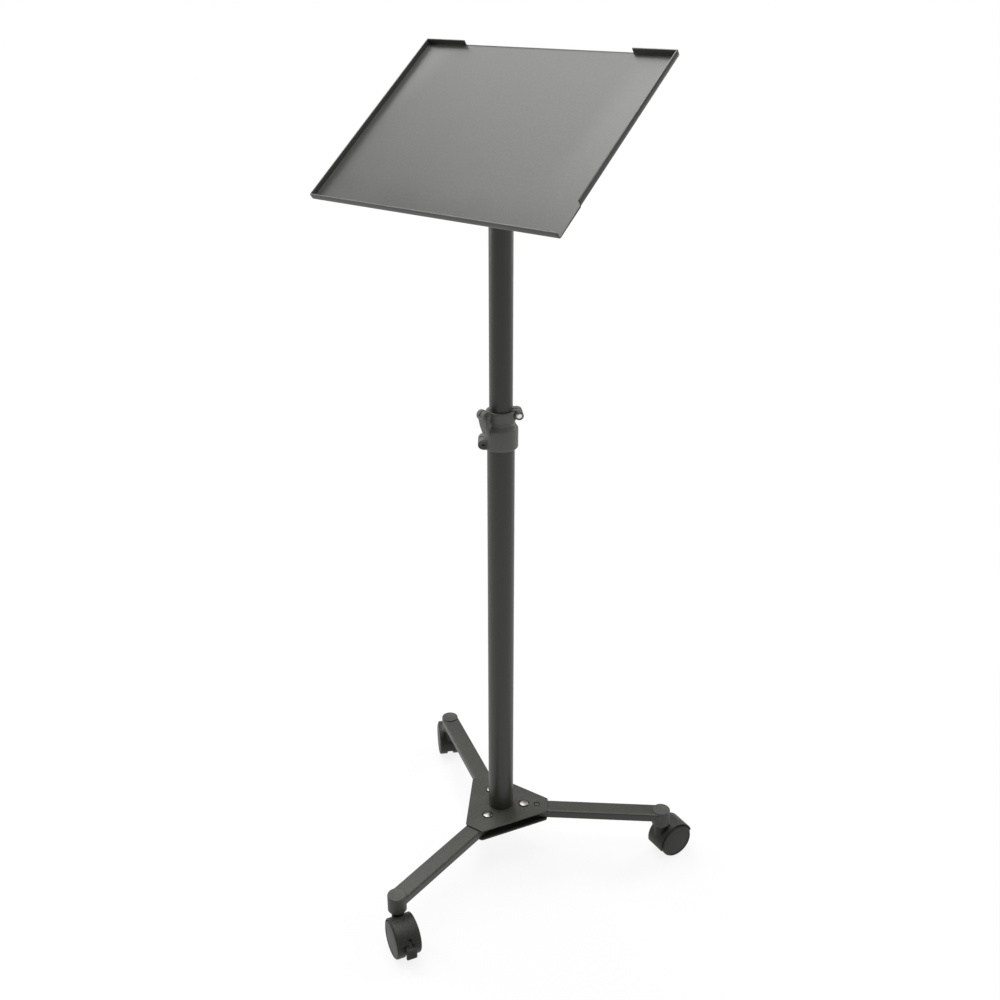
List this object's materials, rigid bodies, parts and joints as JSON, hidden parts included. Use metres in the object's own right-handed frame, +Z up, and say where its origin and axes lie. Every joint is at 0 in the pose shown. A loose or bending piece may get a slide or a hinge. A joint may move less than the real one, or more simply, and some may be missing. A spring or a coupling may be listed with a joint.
{
  "type": "adjustable floor stand",
  "caption": "Wheeled floor stand with a tilting lipped tray on a telescopic pole, held by a lever clamp, over a low flat-tube base on swivel castors.",
  "frame": {"origin": "on the floor, at the middle of the bounding box's footprint; the pole's axis stands 12.6 mm towards +X and 40 mm towards +Y of it", "axes": "+Z up the pole, -Y towards the tray's low front edge, +X to the right of someone who faces the tray"},
  "size_m": [0.4631, 0.4493, 1.1031],
  "materials": {
    "frame_paint": "satin dark grey powder coat",
    "tray_paint": "satin dark grey powder coat, smoother",
    "cast_paint": "satin painted casting",
    "moulding": "satin moulded plastic",
    "castor_plastic": "satin black nylon",
    "black_plastic": "fine-grained black",
    "zinc": "bright zinc plate"
  },
  "bodies": {
    "base": {"lower_tube": "frame_paint", "base_plate_top": "frame_paint", "base_plate_bottom": "frame_paint", "leg_front": "frame_paint", "leg_right": "frame_paint", "leg_left": "frame_paint", "leg_end_front": "moulding", "leg_end_right": "moulding", "leg_end_left": "moulding", "leg_bolt_front": "zinc", "leg_bolt_right": "zinc", "leg_bolt_left": "zinc", "locating_rivet": "frame_paint", "clamp_body": "cast_paint", "collar_bolt": "zinc", "ring_bolt": "zinc"},
    "castor_front": {"castor_hood_front": "castor_plastic", "castor_stem_front": "zinc", "castor_axle_front": "zinc"},
    "wheel_front_a": {"wheel_front_a": "castor_plastic"},
    "wheel_front_b": {"wheel_front_b": "castor_plastic"},
    "brake_front": {"brake_lever_front": "castor_plastic"},
    "castor_right": {"castor_hood_right": "castor_plastic", "castor_stem_right": "zinc", "castor_axle_right": "zinc"},
    "wheel_right_a": {"wheel_right_a": "castor_plastic"},
    "wheel_right_b": {"wheel_right_b": "castor_plastic"},
    "brake_right": {"brake_lever_right": "castor_plastic"},
    "castor_left": {"castor_hood_left": "castor_plastic", "castor_stem_left": "zinc", "castor_axle_left": "zinc"},
    "wheel_left_a": {"wheel_left_a": "castor_plastic"},
    "wheel_left_b": {"wheel_left_b": "castor_plastic"},
    "brake_left": {"brake_lever_left": "castor_plastic"},
    "lever": {"clamp_lever": "cast_paint", "lever_pin": "zinc"},
    "glide": {"guide_bush": "black_plastic"},
    "mast": {"upper_tube": "frame_paint", "tilt_head": "cast_paint"},
    "tray": {"tray": "tray_paint", "tilt_bracket": "frame_paint", "tilt_bolt": "zinc", "tilt_knob": "black_plastic"}
  },
  "joints": [
    {"name": "castor_front_swivel", "type": "hinge", "parent": "base", "child": "castor_front", "pos_m": [0.02484, -0.19066, 0.055], "axis": [0, 0, 1], "continuous": true},
    {"name": "wheel_front_a_spin", "type": "hinge", "parent": "castor_front", "child": "wheel_front_a", "pos_m": [0.04237, -0.19921, 0.025], "axis": [0.4384, 0.8988, 0], "continuous": true},
    {"name": "wheel_front_b_spin", "type": "hinge", "parent": "castor_front", "child": "wheel_front_b", "pos_m": [0.04237, -0.19921, 0.025], "axis": [0.4384, 0.8988, 0], "continuous": true},
    {"name": "brake_front_press", "type": "hinge", "parent": "castor_front", "child": "brake_front", "pos_m": [0.05315, -0.20447, 0.0425], "axis": [0.4384, 0.8988, 0], "range_deg": [0, 8]},
    {"name": "castor_right_swivel", "type": "hinge", "parent": "base", "child": "castor_right", "pos_m": [0.20101, 0.17365, 0.055], "axis": [0, 0, 1], "continuous": true},
    {"name": "wheel_right_a_spin", "type": "hinge", "parent": "castor_right", "child": "wheel_right_a", "pos_m": [0.20768, 0.19197, 0.025], "axis": [-0.9397, 0.342, 0], "continuous": true},
    {"name": "wheel_right_b_spin", "type": "hinge", "parent": "castor_right", "child": "wheel_right_b", "pos_m": [0.20768, 0.19197, 0.025], "axis": [-0.9397, 0.342, 0], "continuous": true},
    {"name": "brake_right_press", "type": "hinge", "parent": "castor_right", "child": "brake_right", "pos_m": [0.21179, 0.20325, 0.0425], "axis": [-0.9397, 0.342, 0], "range_deg": [0, 8]},
    {"name": "castor_left_swivel", "type": "hinge", "parent": "base", "child": "castor_left", "pos_m": [-0.18706, 0.15589, 0.055], "axis": [0, 0, 1], "continuous": true},
    {"name": "wheel_left_a_spin", "type": "hinge", "parent": "castor_left", "child": "wheel_left_a", "pos_m": [-0.20156, 0.16894, 0.025], "axis": [-0.6691, -0.7431, 0], "continuous": true},
    {"name": "wheel_left_b_spin", "type": "hinge", "parent": "castor_left", "child": "wheel_left_b", "pos_m": [-0.20156, 0.16894, 0.025], "axis": [-0.6691, -0.7431, 0], "continuous": true},
    {"name": "brake_left_press", "type": "hinge", "parent": "castor_left", "child": "brake_left", "pos_m": [-0.21047, 0.17697, 0.0425], "axis": [-0.6691, -0.7431, 0], "range_deg": [0, 8]},
    {"name": "clamp_lever_swing", "type": "hinge", "parent": "base", "child": "lever", "pos_m": [0.00764, 0.01448, 0.68], "axis": [-0.9816, 0.1908, 0], "range_deg": [0, 120]},
    {"name": "pole_height", "type": "slide", "parent": "base", "child": "glide", "axis": [0, 0, 1], "range_m": [-0.25, 0.15]},
    {"name": "pole_turn", "type": "hinge", "parent": "glide", "child": "mast", "pos_m": [0.0126, 0.04, 0.45], "axis": [0, 0, 1], "continuous": true},
    {"name": "tray_tilt", "type": "hinge", "parent": "mast", "child": "tray", "pos_m": [0.0126, 0.04, 0.9865], "axis": [1, 0, 0], "range_deg": [-37.6, 7.4]}
  ]
}
